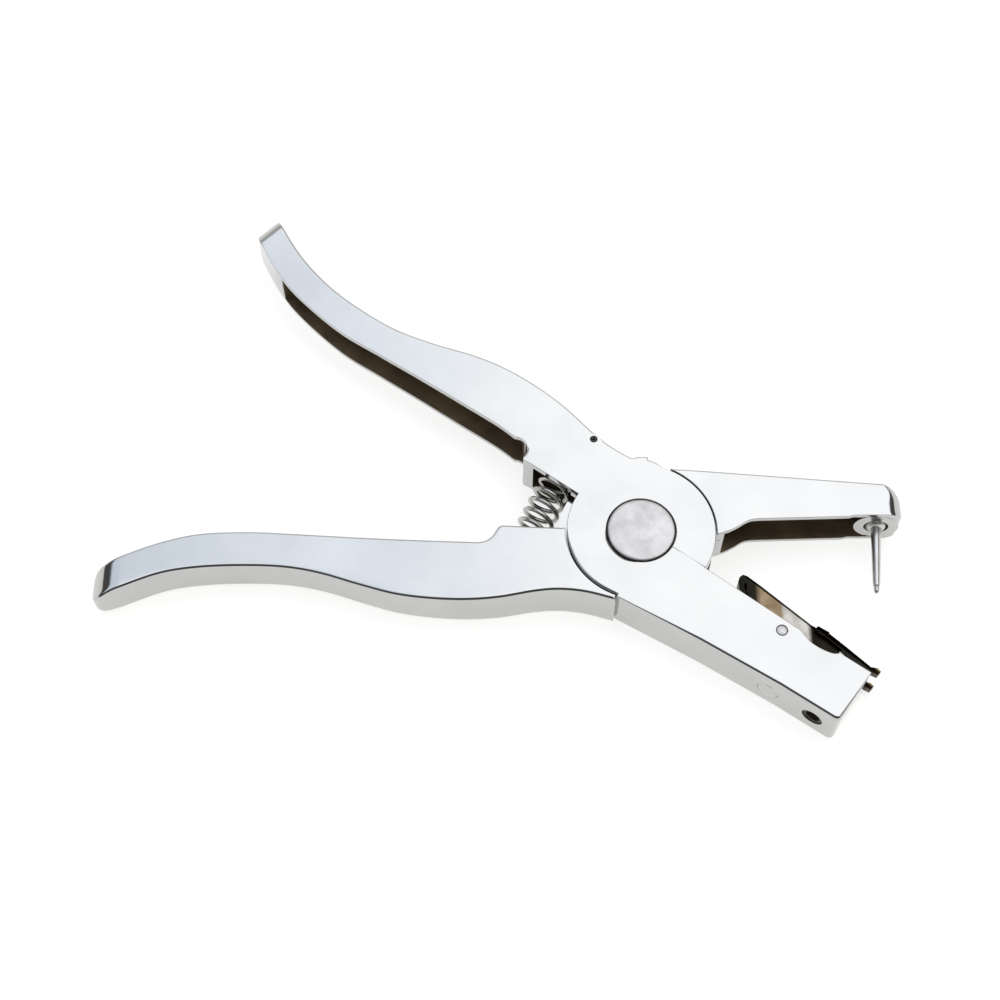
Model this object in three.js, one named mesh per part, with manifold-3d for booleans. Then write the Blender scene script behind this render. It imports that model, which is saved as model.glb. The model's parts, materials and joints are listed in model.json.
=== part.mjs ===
// Snap and ear tag setter pliers: two hollow cast levers on one pivot, a compression spring between the
// handles, a tapered pin under the upper jaw and a sprung two-pronged clip on the lower jaw.
// Millimetres, +Z up. The pliers lie on their back face at z = 0, the pivot axis is x = y = 0,
// +X points to the jaws and +Y to the upper handle. The jaws stand at their open stop.
import * as THREE from 'three';
import { mergeVertices } from 'three/addons/utils/BufferGeometryUtils.js';
import Module from 'manifold-3d';

const wasm = await Module();
wasm.setup();

// ---- driving dimensions ----
const THICK = 17;              // full thickness of both levers at the hub and the jaws
const MID = THICK / 2;
const WALL = 1.6;              // side plates of the hollow castings
const POCKET_WALL = 2.2;       // side plates beside the return spring
// How each lever thins towards its end, by distance from the pivot: each face leans in from start to full,
// and the last length rounds off to depth.
const UPPER_TIP = { start: 75, full: 160, end: 169.6, lean: 1.6, length: 5, depth: 5 };
const LOWER_TIP = { start: 22, full: 90, end: 170.2, lean: 1.5, length: 8, depth: 6.5 };
const JAW_TIP = { start: 60, full: 70, end: 82.4, lean: 0, length: 4, depth: 4 };
const HUB_R = 23.2;            // radius of the two hub cheeks
const HUB_GAP_R = 23.6;        // the other lever's faces end at this radius
const CHEEK = 4.2;             // thickness of each cheek
const TONGUE_R = 20.3;         // hub tongue between the cheeks
const TONGUE = [5, 12];        // its z range
const SLOT_R = 20.7;           // slot for the tongue
const HEAD_R = 10.5;           // pivot rivet head
const HEAD_T = 2.6;
const HEAD_PROUD = 0.5;        // the front head stands above the cheek
const SHANK_R = 4;
const BUSH_R = 6;
const SPRING_R = 5.05;         // mean radius of the return spring
const SPRING_WIRE = 0.75;      // radius of its wire
const SPRING_TURNS = 9.5;
const SEAT_TONGUE = [-36.6, -2.5];   // centre of the spring seat in the lower handle
const SEAT_CLEVIS = [-21.9, 29.4];   // centre of the spring seat in the upper handle
const PIN_ROOT = [74.85, 5.3];       // where the pin leaves the upper jaw
const PIN_LEAN = -4.6;               // degrees about Z from straight down
const PIN_LENGTH = 23.2;
const BOSS_R = 7;               // round boss that holds the pin, joined to both side plates
const CLIP_PIVOT = [41.4, -33.7];
const CLIP_PLATE = 1.2;
const BORE_TOP = [60.6, -42.8];      // ends of the hole that the pin enters
const BORE_BOTTOM = [49.8, -58.4];
const SCREW_AT = [37, -49.9];        // domed screw in the lower jaw's outer wall
const ANCHOR_AT = [-14.05, 32.25];   // small cross pin in the upper handle
const ANCHOR_R = 1.15;               // its hole, 0.7 from the handle's outer edge
const ROUND = 48;                    // sides of a full circle

const rad = (deg) => (deg * Math.PI) / 180;
const v2 = (points) => points.map(([x, y]) => new THREE.Vector2(x, y));

// ---- solids: only joins and cuts go through the boolean library ----
function toSolid(geometry) {
  const bare = geometry.index ? geometry.toNonIndexed() : geometry.clone();
  bare.deleteAttribute('normal');
  bare.deleteAttribute('uv');
  const merged = mergeVertices(bare, 1e-4);
  const vertProperties = new Float32Array(merged.attributes.position.array);
  const triVerts = new Uint32Array(merged.index.array);
  return new wasm.Manifold(new wasm.Mesh({ numProp: 3, vertProperties, triVerts }));
}

function toGeometry(solid) {
  const mesh = solid.getMesh();
  const geometry = new THREE.BufferGeometry();
  geometry.setAttribute('position', new THREE.BufferAttribute(new Float32Array(mesh.vertProperties), 3));
  geometry.setIndex(new THREE.BufferAttribute(new Uint32Array(mesh.triVerts), 1));
  geometry.computeVertexNormals();
  return geometry;
}

function plate(shape, z0, z1, curveSegments = 4) {
  const geometry = new THREE.ExtrudeGeometry(shape, { depth: z1 - z0, bevelEnabled: false, curveSegments });
  return toSolid(geometry.translate(0, 0, z0));
}

function polygon(points) {
  return new THREE.Shape(v2(points));
}

// Round bar along Z.
function bar(x, y, r, z0, z1, sides = ROUND) {
  const geometry = new THREE.CylinderGeometry(r, r, z1 - z0, sides).rotateX(Math.PI / 2);
  return toSolid(geometry.translate(x, y, (z0 + z1) / 2));
}

// Round bar in the mid plane, from one plan point along a plan direction.
function crossBar([x, y], angle, r, from, to, sides = ROUND) {
  const geometry = new THREE.CylinderGeometry(r, r, to - from, sides).rotateZ(-Math.PI / 2);
  geometry.translate((from + to) / 2, 0, 0).rotateZ(angle);
  return toSolid(geometry.translate(x, y, MID));
}

// Pie slice about the pivot axis.
function sector(r, from, to, z0, z1) {
  const shape = new THREE.Shape();
  shape.moveTo(0, 0);
  shape.absarc(0, 0, r, rad(from), rad(to), false);
  shape.lineTo(0, 0);
  return plate(shape, z0, z1, 10);
}

// Slab that thins towards the end of a lever and ends in a full rounding.
function taperSlab(angle, inset, { start, full, end, lean, length, depth }) {
  const low = inset + lean;
  const high = THICK - inset - lean;
  const shape = new THREE.Shape();
  shape.moveTo(-60, inset);
  shape.lineTo(start, inset);
  shape.lineTo(full, low);
  shape.lineTo(end - length, low);
  shape.quadraticCurveTo(end - length * 0.1, low + depth * 0.1, end, low + depth);
  shape.lineTo(end, high - depth);
  shape.quadraticCurveTo(end - length * 0.1, high - depth * 0.1, end - length, high);
  shape.lineTo(full, high);
  shape.lineTo(start, THICK - inset);
  shape.lineTo(-60, THICK - inset);
  const geometry = new THREE.ExtrudeGeometry(shape, { depth: 400, bevelEnabled: false, curveSegments: 5 });
  geometry.translate(0, 0, -200);
  const along = new THREE.Vector3(Math.cos(angle), Math.sin(angle), 0);
  const up = new THREE.Vector3(0, 0, 1);
  const across = new THREE.Vector3().crossVectors(along, up);
  return toSolid(geometry.applyMatrix4(new THREE.Matrix4().makeBasis(along, up, across)));
}

// Closed ring about a vertical axis.
function ring(inner, outer, z0, z1) {
  const profile = v2([[inner, z0], [outer, z0], [outer, z1], [inner, z1], [inner, z0]]);
  return new THREE.LatheGeometry(profile, ROUND).rotateX(Math.PI / 2);
}

// ---- clevis lever: upper handle, two hub cheeks, lower jaw ----
function upperHandleShape() {
  const shape = new THREE.Shape();
  shape.moveTo(0, 0);
  shape.lineTo(7.3, 10);
  shape.lineTo(7.3, 22.3);
  shape.lineTo(5.5, 24);
  shape.lineTo(3.2, 25);
  shape.lineTo(3, 26.1);
  shape.lineTo(-0.5, 26.1);
  shape.lineTo(-1.4, 25.6);
  shape.splineThru(v2([
    [-2.7, 25.9], [-6, 28.1], [-12.2, 33], [-24.6, 46], [-37.4, 56], [-50.5, 63.1], [-66.5, 68.9],
    [-80.5, 75.5], [-97.1, 88], [-109.4, 101.8], [-118.6, 117.4],
  ]));
  shape.quadraticCurveTo(-119.9, 119.6, -121.5, 118);
  shape.lineTo(-124.8, 114.7);
  shape.quadraticCurveTo(-126.8, 112.8, -125.6, 110.4);
  shape.splineThru(v2([
    [-119.3, 98.3], [-111.5, 87.6], [-97.2, 73.7], [-83.6, 64.3], [-70.2, 55.3],
    [-57, 46.2], [-45, 37.9], [-39.2, 33.1],
  ]));
  shape.absarc(-39.3, 29.1, 4, rad(88), rad(-48), true);
  shape.lineTo(-36.4, 24.7);
  shape.lineTo(-34.4, 23.6);
  shape.lineTo(-18.2, 12);
  shape.lineTo(0, 0);
  return shape;
}

function lowerJawShape() {
  const shape = new THREE.Shape();
  shape.moveTo(0, 0);
  shape.lineTo(-8.3, -12);
  shape.lineTo(-8.3, -22.5);
  shape.lineTo(16.4, -37);
  shape.lineTo(39.6, -51.5);
  shape.lineTo(54.6, -61.8);
  shape.quadraticCurveTo(56.4, -62.9, 57.4, -61.4);
  shape.lineTo(67.3, -47.4);
  shape.lineTo(58.3, -41);
  shape.splineThru(v2([[56.6, -41.2], [53.9, -40.2], [51, -38.4], [49, -36.4], [47.2, -33.7]]));
  shape.lineTo(19.3, -12.9);
  shape.lineTo(0, 0);
  return shape;
}

// Hollow of the upper handle, open along the handle's inner edge.
function upperHandleHollow() {
  const shape = new THREE.Shape();
  shape.moveTo(-36.8, 24);
  shape.lineTo(-35.8, 29);
  shape.lineTo(-37.8, 52.9);
  shape.splineThru(v2([
    [-51.6, 60.7], [-67.4, 66.4], [-82, 73.3], [-99, 86.3], [-108.6, 97.2], [-112.4, 102.6],
  ]));
  shape.lineTo(-118, 92.5);
  shape.lineTo(-106, 77);
  shape.lineTo(-83, 60);
  shape.lineTo(-50, 37);
  shape.lineTo(-41, 30);
  return shape;
}

// Spring pocket of the upper handle: its ceiling is the spring seat.
function clevisPocket() {
  const hollow = plate(polygon([[-33.4, 18], [-33.4, 34.7], [-11.5, 24.6], [-6, 12], [-20, 6]]),
    POCKET_WALL, THICK - POCKET_WALL);
  return hollow.subtract(bar(0, 0, 25.9, -1, THICK + 1));
}

// Channel of the lower jaw, open on top. The jaw's end stays solid round the pin's hole.
function lowerJawHollow() {
  const shape = new THREE.Shape();
  shape.moveTo(21.5, -11);
  shape.absarc(0, 0, 24.8, rad(-32), rad(-87), true);
  shape.lineTo(17.9, -34.5);
  shape.lineTo(41, -49);
  shape.lineTo(43.9, -51.2);
  shape.lineTo(55.6, -35);
  shape.lineTo(47, -28);
  return shape;
}

function clevisLever() {
  const upper = plate(upperHandleShape(), 0, THICK).intersect(taperSlab(rad(135), 0, UPPER_TIP));
  const hub = bar(0, 0, HUB_R, 0, THICK, 72);
  const jaw = plate(lowerJawShape(), 0, THICK);
  const hollow = plate(upperHandleHollow(), WALL, THICK - WALL)
    .intersect(taperSlab(rad(135), WALL, { ...UPPER_TIP, end: 166, length: 3, depth: 3 }));
  const boreAngle = Math.atan2(BORE_BOTTOM[1] - BORE_TOP[1], BORE_BOTTOM[0] - BORE_TOP[0]);
  const screwAngle = rad(-122.2);
  return upper.add(hub).add(jaw)
    .subtract(hollow)
    .subtract(clevisPocket())
    .subtract(plate(lowerJawHollow(), WALL, THICK - WALL, 6))
    .subtract(bar(0, 0, SLOT_R, CHEEK, THICK - CHEEK, 72))
    .subtract(sector(26.2, 112, 249.7, CHEEK, THICK - CHEEK))
    .subtract(sector(30, -36.5, 83, CHEEK, THICK - CHEEK))
    .subtract(bar(0, 0, HEAD_R + 0.4, -1, HEAD_T))
    .subtract(bar(0, 0, HEAD_R + 0.4, THICK - HEAD_T, THICK + 1))
    .subtract(bar(0, 0, SHANK_R + 0.2, 0, THICK))
    .subtract(bar(...ANCHOR_AT, ANCHOR_R, -1, THICK + 1, 24))
    .subtract(bar(...CLIP_PIVOT, 2, -1, THICK + 1, 24))
    .subtract(crossBar(BORE_TOP, boreAngle, 3.6, -6, 26, 32))
    .subtract(crossBar(SCREW_AT, screwAngle, 3.7, -1.6, 6, 32))
    .subtract(crossBar(SCREW_AT, screwAngle, 2.2, -6, 6, 24));
}

// ---- tongue lever: lower handle, hub tongue, upper jaw ----
function lowerHandleShape() {
  const shape = new THREE.Shape();
  shape.moveTo(-8.6, -8);
  shape.lineTo(-20, 0.8);
  shape.lineTo(-43.4, 2.1);
  shape.splineThru(v2([[-44.6, 1.4], [-46.2, -1.3], [-48.2, -3], [-50.6, -3.6]]));
  shape.splineThru(v2([
    [-75, -2.4], [-106, -0.5], [-121.7, 0.3], [-137.2, -0.3], [-149.4, -3.2], [-161.4, -7.9], [-166.6, -10.6],
  ]));
  shape.quadraticCurveTo(-169.4, -12.1, -169.8, -15);
  shape.lineTo(-170.1, -18.6);
  shape.quadraticCurveTo(-170, -22.6, -166.6, -21.5);
  shape.splineThru(v2([
    [-160.4, -18.8], [-148.5, -14.2], [-136.3, -12.2], [-122, -11.7], [-110, -12.3], [-99.2, -14.4],
    [-86.7, -18.4], [-76, -21.5], [-65, -23.1], [-54, -23.6], [-43.9, -22.9], [-33, -21], [-25.6, -20.5],
    [-17.5, -21.4], [-8.6, -23.9],
  ]));
  return shape;
}

function upperJawShape() {
  const shape = new THREE.Shape();
  shape.moveTo(8, 8);
  shape.lineTo(10, 10);
  shape.lineTo(10, 21.8);
  shape.splineThru(v2([[19.3, 21.2], [44.4, 19.1], [76.5, 16.4]]));
  shape.quadraticCurveTo(82, 16, 82.3, 10.5);
  shape.lineTo(82.4, 6.6);
  shape.lineTo(81.4, 5.3);
  shape.lineTo(66.8, 5.2);
  shape.lineTo(65.2, 4.8);
  shape.lineTo(37.1, 4);
  shape.splineThru(v2([[34.4, 3.7], [32.4, 2.8], [30.8, 1.7], [27.6, 0]]));
  shape.lineTo(23.3, -1.5);
  shape.lineTo(12, -1);
  return shape;
}

// Hollow of the lower handle, open along the handle's inner edge.
function lowerHandleHollow() {
  const shape = new THREE.Shape();
  shape.moveTo(-46.6, 6);
  shape.lineTo(-46.6, -20.4);
  shape.splineThru(v2([
    [-54, -21], [-65, -20.5], [-76, -18.9], [-86.7, -15.8], [-99.2, -11.8], [-110, -9.7], [-122, -9.1],
    [-136.3, -9.6], [-148.5, -11.6], [-156, -14.2],
  ]));
  shape.lineTo(-161, -12.5);
  shape.lineTo(-159, 2);
  shape.lineTo(-130, 6);
  return shape;
}

// Hollow of the upper jaw, open underneath, round the boss that holds the pin.
function upperJawHollow() {
  const shape = new THREE.Shape();
  shape.moveTo(27, -8);
  shape.absarc(0, 0, 26, rad(-9), rad(45.5), false);
  shape.lineTo(31.8, 17.6);
  shape.lineTo(76, 13.8);
  shape.lineTo(74.3, -8);
  return plate(shape, WALL, THICK - WALL, 8).subtract(crossBar(PIN_ROOT, rad(PIN_LEAN - 90), BOSS_R, -14, 6));
}

function tongueLever() {
  const [t0, t1] = TONGUE;
  const downPin = rad(PIN_LEAN - 90);
  const lower = plate(lowerHandleShape(), 0, THICK).intersect(taperSlab(rad(180), 0, LOWER_TIP));
  const upper = plate(upperJawShape(), 0, THICK).intersect(taperSlab(0, 0, JAW_TIP));
  const lowerHollow = plate(lowerHandleHollow(), WALL, THICK - WALL)
    .intersect(taperSlab(rad(180), WALL, { ...LOWER_TIP, end: 164, length: 3, depth: 3 }));
  const pocket = plate(polygon([[-43.9, 0.86], [-27.3, -6.78], [-27.3, 8], [-43.9, 8]]),
    POCKET_WALL, THICK - POCKET_WALL);
  return lower.add(upper)
    .subtract(lowerHollow)
    .subtract(pocket)
    .subtract(upperJawHollow())
    .subtract(bar(0, 0, HUB_GAP_R, -1, THICK + 1, 72))
    .add(bar(0, 0, TONGUE_R, t0, t1, 72))
    .add(sector(25.8, 150, 178, t0, t1))
    .add(sector(24.6, 176, 247.3, t0, t1))
    .add(sector(24.6, -3, 66, t0, t1))
    .add(sector(22.9, 60, 82.4, t0, t1))
    .subtract(bar(0, 0, BUSH_R + 0.2, 0, THICK))
    .subtract(crossBar(PIN_ROOT, downPin, 3.9, -3, 4, 32))
    .subtract(crossBar(PIN_ROOT, downPin, 1.95, -9, 4, 24));
}

// ---- pivot ----
function pivotRivet() {
  const head = bar(0, 0, HEAD_R, THICK - HEAD_T + 0.2, THICK + HEAD_PROUD);
  return head.add(bar(0, 0, SHANK_R, HEAD_T + 0.3, THICK - 1));
}

// ---- springs ----
class Coil extends THREE.Curve {
  constructor(start, end, radius, turns, closed) {
    super();
    this.start = start;
    this.axis = end.clone().sub(start);
    this.length = this.axis.length();
    this.axis.normalize();
    this.side = new THREE.Vector3(0, 0, 1);
    this.front = new THREE.Vector3().crossVectors(this.axis, this.side);
    this.radius = radius;
    this.turns = turns;
    this.closed = closed;
  }

  // The first and last turns lie flat, as on a spring with closed ends.
  height(turn) {
    const last = this.turns - 1;
    const pitch = (this.length - 2 * this.closed) / (this.turns - 2);
    if (turn < 1) return turn * this.closed;
    if (turn > last) return this.length - (this.turns - turn) * this.closed;
    return this.closed + (turn - 1) * pitch;
  }

  getPoint(t, target = new THREE.Vector3()) {
    const turn = t * this.turns;
    const angle = turn * 2 * Math.PI;
    return target.copy(this.start)
      .addScaledVector(this.axis, this.height(turn))
      .addScaledVector(this.front, this.radius * Math.cos(angle))
      .addScaledVector(this.side, this.radius * Math.sin(angle));
  }
}

function wire(curve, radius, steps, sides = 6) {
  const section = new THREE.Shape();
  section.absarc(0, 0, radius, 0, 2 * Math.PI, false);
  return new THREE.ExtrudeGeometry(section, { steps, curveSegments: sides / 2, extrudePath: curve });
}

function returnSpring() {
  const low = new THREE.Vector3(...SEAT_TONGUE, MID);
  const high = new THREE.Vector3(...SEAT_CLEVIS, MID);
  const inset = high.clone().sub(low).normalize().multiplyScalar(SPRING_WIRE + 0.35);
  const coil = new Coil(low.add(inset), high.sub(inset), SPRING_R, SPRING_TURNS, 2 * SPRING_WIRE + 0.1);
  return wire(coil, SPRING_WIRE, 110);
}

// Wire spring about the clip rivet: one leg lies on the jaw's floor, the other runs under the thumb pad.
// The coil ends where its tangent points along the second leg, so the wire has no kink.
function clipSpring() {
  const [cx, cy] = CLIP_PIVOT;
  const radius = 3.1;
  const end = new THREE.Vector2(32.6, -17.8);
  const reach = Math.hypot(end.x - cx, end.y - cy);
  const endAngle = Math.atan2(end.y - cy, end.x - cx) + Math.acos(radius / reach);
  const sweep = rad(188) - endAngle + 6 * Math.PI;
  const points = [[40.6, -47.2, 6.2], [39.4, -40.5, 6.2]].map((p) => new THREE.Vector3(...p));
  for (let i = 0; i <= 36; i += 1) {
    const angle = rad(188) - (i / 36) * sweep;
    const height = 6.2 + i * 0.125;
    points.push(new THREE.Vector3(cx + radius * Math.cos(angle), cy + radius * Math.sin(angle), height));
  }
  const legs = [[36.53, -29.13, 10.85], [34.54, -23.38, 10.9], [end.x, end.y, 10.9]];
  legs.forEach((p) => points.push(new THREE.Vector3(...p)));
  return wire(new THREE.CatmullRomCurve3(points, false, 'centripetal'), 0.5, 90);
}

// ---- clip: formed plate with a turned-down thumb end, two side flanges and a two-pronged fork ----
function jawClip() {
  const flange = polygon([
    [32.2, -15.2], [36.2, -18.2], [50.6, -30.9], [54.5, -34.2], [59.2, -38.4], [58.6, -40.2], [56.6, -40.5],
    [54, -39.4], [51.4, -37.7], [49.8, -36.3], [44.3, -38.2], [39.6, -37], [38, -32.6], [35.5, -27.5],
    [32.9, -22.5], [31.9, -19.5],
  ]);
  const back = polygon([
    [31.1, -13.9], [32.4, -14.4], [36.2, -17.6], [51, -30.9], [55.6, -33.6], [54.8, -35.2], [50.2, -32.1],
    [35.6, -19.3], [32.6, -16.6], [31.4, -16.9], [31.2, -18.3], [32, -19.9], [30.9, -20.5], [29.7, -18.6],
    [29.5, -16.2], [30, -14.7],
  ]);
  const prong = polygon([
    [53.4, -32.6], [55.4, -33.9], [59.6, -37.7], [63.9, -41.8], [67.5, -45.2], [69.4, -45.5], [70.4, -46.6],
    [69.2, -47.8], [67.3, -46.8], [63.2, -43.2], [58.9, -39.2], [54.7, -35.4], [52.4, -34],
  ]);
  const rivetHole = bar(...CLIP_PIVOT, 1.95, 0, THICK, 24);
  return plate(flange, 2.9, 2.9 + CLIP_PLATE)
    .add(plate(flange, 14.1 - CLIP_PLATE, 14.1))
    .add(plate(back, 2.9, 14.1))
    .add(plate(prong, 1.2, 3.7))
    .add(plate(prong, 13.3, 15.8))
    .add(plate(polygon([[52.6, -31.8], [56, -33.9], [55.2, -35.4], [51.6, -33]]), 1.2, 15.8))
    .subtract(rivetHole);
}

// ---- pin and its collar, hanging from the upper jaw ----
function applicatorPin() {
  const profile = v2([
    [0, -PIN_LENGTH], [0.5, 0.4 - PIN_LENGTH], [0.85, 1 - PIN_LENGTH], [0.92, 2.4 - PIN_LENGTH],
    [1.15, 2.8 - PIN_LENGTH], [1.65, 0], [1.65, 8.4], [0, 8.4],
  ]);
  return new THREE.LatheGeometry(profile, 24);
}

function pinCollar() {
  const profile = v2([
    [1.95, -0.9], [2.5, -0.7], [3.1, 0.1], [3.3, 1], [3.3, 2.7], [1.95, 2.7], [1.95, -0.9],
  ]);
  return new THREE.LatheGeometry(profile, 32);
}

// ---- small pieces of the lower jaw ----
function anvilBush() {
  const length = Math.hypot(BORE_TOP[0] - BORE_BOTTOM[0], BORE_TOP[1] - BORE_BOTTOM[1]);
  const profile = v2([[2.4, 0.4], [3.3, 0.4], [3.3, length - 1.2], [2.4, length - 1.2], [2.4, 0.4]]);
  return new THREE.LatheGeometry(profile, 32);
}

function jawScrew() {
  const profile = v2([[0, -0.35], [2.7, -0.3], [3.4, 0.1], [3.4, 1.3], [1.9, 1.3], [1.9, 5.5], [0, 5.5]]);
  return new THREE.LatheGeometry(profile, 32);
}

// ---- assembly ----
const steel = { roughness: 0.2, metalness: 1 };
const paints = {
  chrome: new THREE.MeshStandardMaterial({ color: 0xe4e6ec, roughness: 0.07, metalness: 1 }),
  satin: new THREE.MeshStandardMaterial({ color: 0xc9c6c2, roughness: 0.4, metalness: 1 }),
  wire: new THREE.MeshStandardMaterial({ color: 0xbfc0bd, ...steel }),
  pin: new THREE.MeshStandardMaterial({ color: 0xc8c9c6, ...steel }),
  clip: new THREE.MeshStandardMaterial({ color: 0x8f8574, roughness: 0.35, metalness: 1 }),
  dark: new THREE.MeshStandardMaterial({ color: 0x3a3733, roughness: 0.5, metalness: 1 }),
  brass: new THREE.MeshStandardMaterial({ color: 0xb08d4f, roughness: 0.35, metalness: 1 }),
};

const group = new THREE.Group();

function piece(name, shape, paint) {
  const geometry = shape.isBufferGeometry ? shape : toGeometry(shape);
  const mesh = new THREE.Mesh(geometry, paints[paint]);
  mesh.name = name;
  group.add(mesh);
  return mesh;
}

function place(mesh, [x, y], angle) {
  mesh.position.set(x, y, MID);
  mesh.rotation.z = angle;
}

piece('clevis_lever', clevisLever(), 'chrome');
piece('tongue_lever', tongueLever(), 'chrome');
piece('pivot_rivet', pivotRivet(), 'satin');
piece('pivot_rear_cap', bar(0, 0, HEAD_R, 0, HEAD_T - 0.2), 'satin');
piece('pivot_bush', ring(SHANK_R + 0.2, BUSH_R, TONGUE[0], TONGUE[1]), 'brass');
piece('front_thrust_washer', ring(SHANK_R + 0.3, 9, 12.15, 12.65), 'wire');
piece('rear_thrust_washer', ring(SHANK_R + 0.3, 9, 4.35, 4.85), 'wire');
piece('return_spring', returnSpring(), 'wire');
const anchorPin = piece('spring_anchor_pin', ring(0.45, ANCHOR_R - 0.3, 0.3, THICK - 0.2), 'dark');
anchorPin.position.set(...ANCHOR_AT, 0);
piece('clip_rivet', bar(...CLIP_PIVOT, 1.7, 0.1, THICK, 24), 'satin');
piece('clip_torsion_spring', clipSpring(), 'wire');
piece('jaw_clip', jawClip(), 'clip');
place(piece('applicator_pin', applicatorPin(), 'pin'), PIN_ROOT, rad(PIN_LEAN));
place(piece('pin_collar', pinCollar(), 'satin'), PIN_ROOT, rad(PIN_LEAN));
const boreUp = Math.atan2(BORE_TOP[1] - BORE_BOTTOM[1], BORE_TOP[0] - BORE_BOTTOM[0]);
place(piece('anvil_bush', anvilBush(), 'dark'), BORE_BOTTOM, boreUp - Math.PI / 2);
place(piece('jaw_screw', jawScrew(), 'satin'), SCREW_AT, rad(-32.2));

export default group;
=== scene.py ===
# Looks of the snap and ear tag setter pliers: two chrome levers, satin pivot, springs, pin and clip.
import json
import math

import bmesh
import bpy
from mathutils import Matrix, Vector
from mathutils.geometry import delaunay_2d_cdt


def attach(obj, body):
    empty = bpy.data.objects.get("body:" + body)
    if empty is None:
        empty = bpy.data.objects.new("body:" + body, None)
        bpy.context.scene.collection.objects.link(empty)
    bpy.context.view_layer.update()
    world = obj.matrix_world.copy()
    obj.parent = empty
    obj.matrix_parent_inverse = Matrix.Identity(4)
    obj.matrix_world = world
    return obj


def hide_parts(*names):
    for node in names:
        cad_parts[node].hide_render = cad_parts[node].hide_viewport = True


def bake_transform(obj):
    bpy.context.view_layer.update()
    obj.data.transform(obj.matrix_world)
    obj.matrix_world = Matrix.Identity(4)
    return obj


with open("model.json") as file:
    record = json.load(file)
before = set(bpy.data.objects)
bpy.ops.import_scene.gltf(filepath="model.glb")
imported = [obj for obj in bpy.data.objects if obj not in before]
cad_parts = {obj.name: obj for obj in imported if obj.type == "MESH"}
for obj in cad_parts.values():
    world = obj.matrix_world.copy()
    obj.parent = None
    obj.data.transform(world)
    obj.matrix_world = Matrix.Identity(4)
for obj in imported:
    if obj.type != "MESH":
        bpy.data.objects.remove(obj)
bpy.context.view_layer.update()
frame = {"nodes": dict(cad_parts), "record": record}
NODES = frame["nodes"]

# ---- camera: above and in front, looking down at 63 degrees ----
CAMERA_AT = (-0.0439, -0.2526, 0.5333)
CAMERA_TILT = math.radians(27)
CAMERA_LENS = 66.6

MM = 0.001      # a millimetre in metres
WELD = 5e-6     # points closer than this, in metres, become one
SHARP = 32      # edges that turn by more degrees than this stay sharp


def make_camera():
    data = bpy.data.cameras.new("camera")
    data.lens = CAMERA_LENS
    data.sensor_width = 36
    cam = bpy.data.objects.new("camera", data)
    cam.location = CAMERA_AT
    cam.rotation_euler = (CAMERA_TILT, 0, 0)
    bpy.context.scene.collection.objects.link(cam)
    bpy.context.scene.camera = cam


# ---- node helpers ----
class Graph:
    def __init__(self, name, color, metallic, roughness):
        self.mat = bpy.data.materials.new(name)
        self.mat.use_nodes = True
        self.tree = self.mat.node_tree
        self.shader = self.tree.nodes["Principled BSDF"]
        self.shader.inputs["Base Color"].default_value = (*color, 1)
        self.shader.inputs["Metallic"].default_value = metallic
        self.shader.inputs["Roughness"].default_value = roughness
        self.coord = self.add("ShaderNodeTexCoord")

    def add(self, kind, **props):
        node = self.tree.nodes.new(kind)
        for key, value in props.items():
            setattr(node, key, value)
        return node

    def link(self, a, b):
        self.tree.links.new(a, b)

    def noise(self, scale, detail):
        node = self.add("ShaderNodeTexNoise")
        node.inputs["Scale"].default_value = scale
        node.inputs["Detail"].default_value = detail
        self.link(self.coord.outputs["Object"], node.inputs["Vector"])
        return node.outputs["Fac"]

    def ramp(self, value, stops):
        node = self.add("ShaderNodeValToRGB")
        ramp = node.color_ramp
        while len(ramp.elements) < len(stops):
            ramp.elements.new(0.5)
        for element, (at, color) in zip(ramp.elements, stops):
            element.position = at
            element.color = (*color, 1)
        self.link(value, node.inputs["Fac"])
        return node.outputs["Color"]

    def spread(self, value, low, high):
        """Maps 0 to 1 onto low to high."""
        node = self.add("ShaderNodeMapRange")
        node.inputs["To Min"].default_value = low
        node.inputs["To Max"].default_value = high
        self.link(value, node.inputs["Value"])
        return node.outputs["Result"]

    def fit(self, value, low, high):
        """Maps low to high onto 0 to 1."""
        node = self.add("ShaderNodeMapRange")
        node.inputs["From Min"].default_value = low
        node.inputs["From Max"].default_value = high
        self.link(value, node.inputs["Value"])
        return node.outputs["Result"]

    def bump(self, value, strength, distance):
        node = self.add("ShaderNodeBump")
        node.inputs["Strength"].default_value = strength
        node.inputs["Distance"].default_value = distance
        self.link(value, node.inputs["Height"])
        self.link(node.outputs["Normal"], self.shader.inputs["Normal"])

    def drive(self, socket, value):
        self.link(value, self.shader.inputs[socket])


def chrome():
    g = Graph("chrome_plate", (0.51, 0.51, 0.5), 1, 0.08)
    g.drive("Base Color", g.ramp(g.noise(60, 4), [(0.3, (0.495, 0.497, 0.49)), (0.65, (0.53, 0.53, 0.52))]))
    g.drive("Roughness", g.spread(g.noise(180, 5), 0.05, 0.13))
    g.bump(g.noise(90, 2), 0.06, 0.0004)
    return g.mat


def satin():
    g = Graph("satin_steel", (0.7, 0.69, 0.66), 1, 0.4)
    g.drive("Base Color", g.ramp(g.noise(140, 6), [(0.3, (0.465, 0.455, 0.45)), (0.7, (0.66, 0.64, 0.625))]))
    g.drive("Roughness", g.spread(g.noise(400, 4), 0.3, 0.5))
    g.bump(g.noise(900, 5), 0.25, 0.0002)
    return g.mat


def wire():
    g = Graph("drawn_wire", (0.7, 0.7, 0.68), 1, 0.2)
    g.drive("Base Color", g.ramp(g.noise(200, 4), [(0.3, (0.36, 0.355, 0.34)), (0.7, (0.52, 0.52, 0.5))]))
    g.drive("Roughness", g.spread(g.noise(500, 3), 0.1, 0.2))
    g.bump(g.noise(700, 4), 0.1, 0.0001)
    return g.mat


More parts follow.
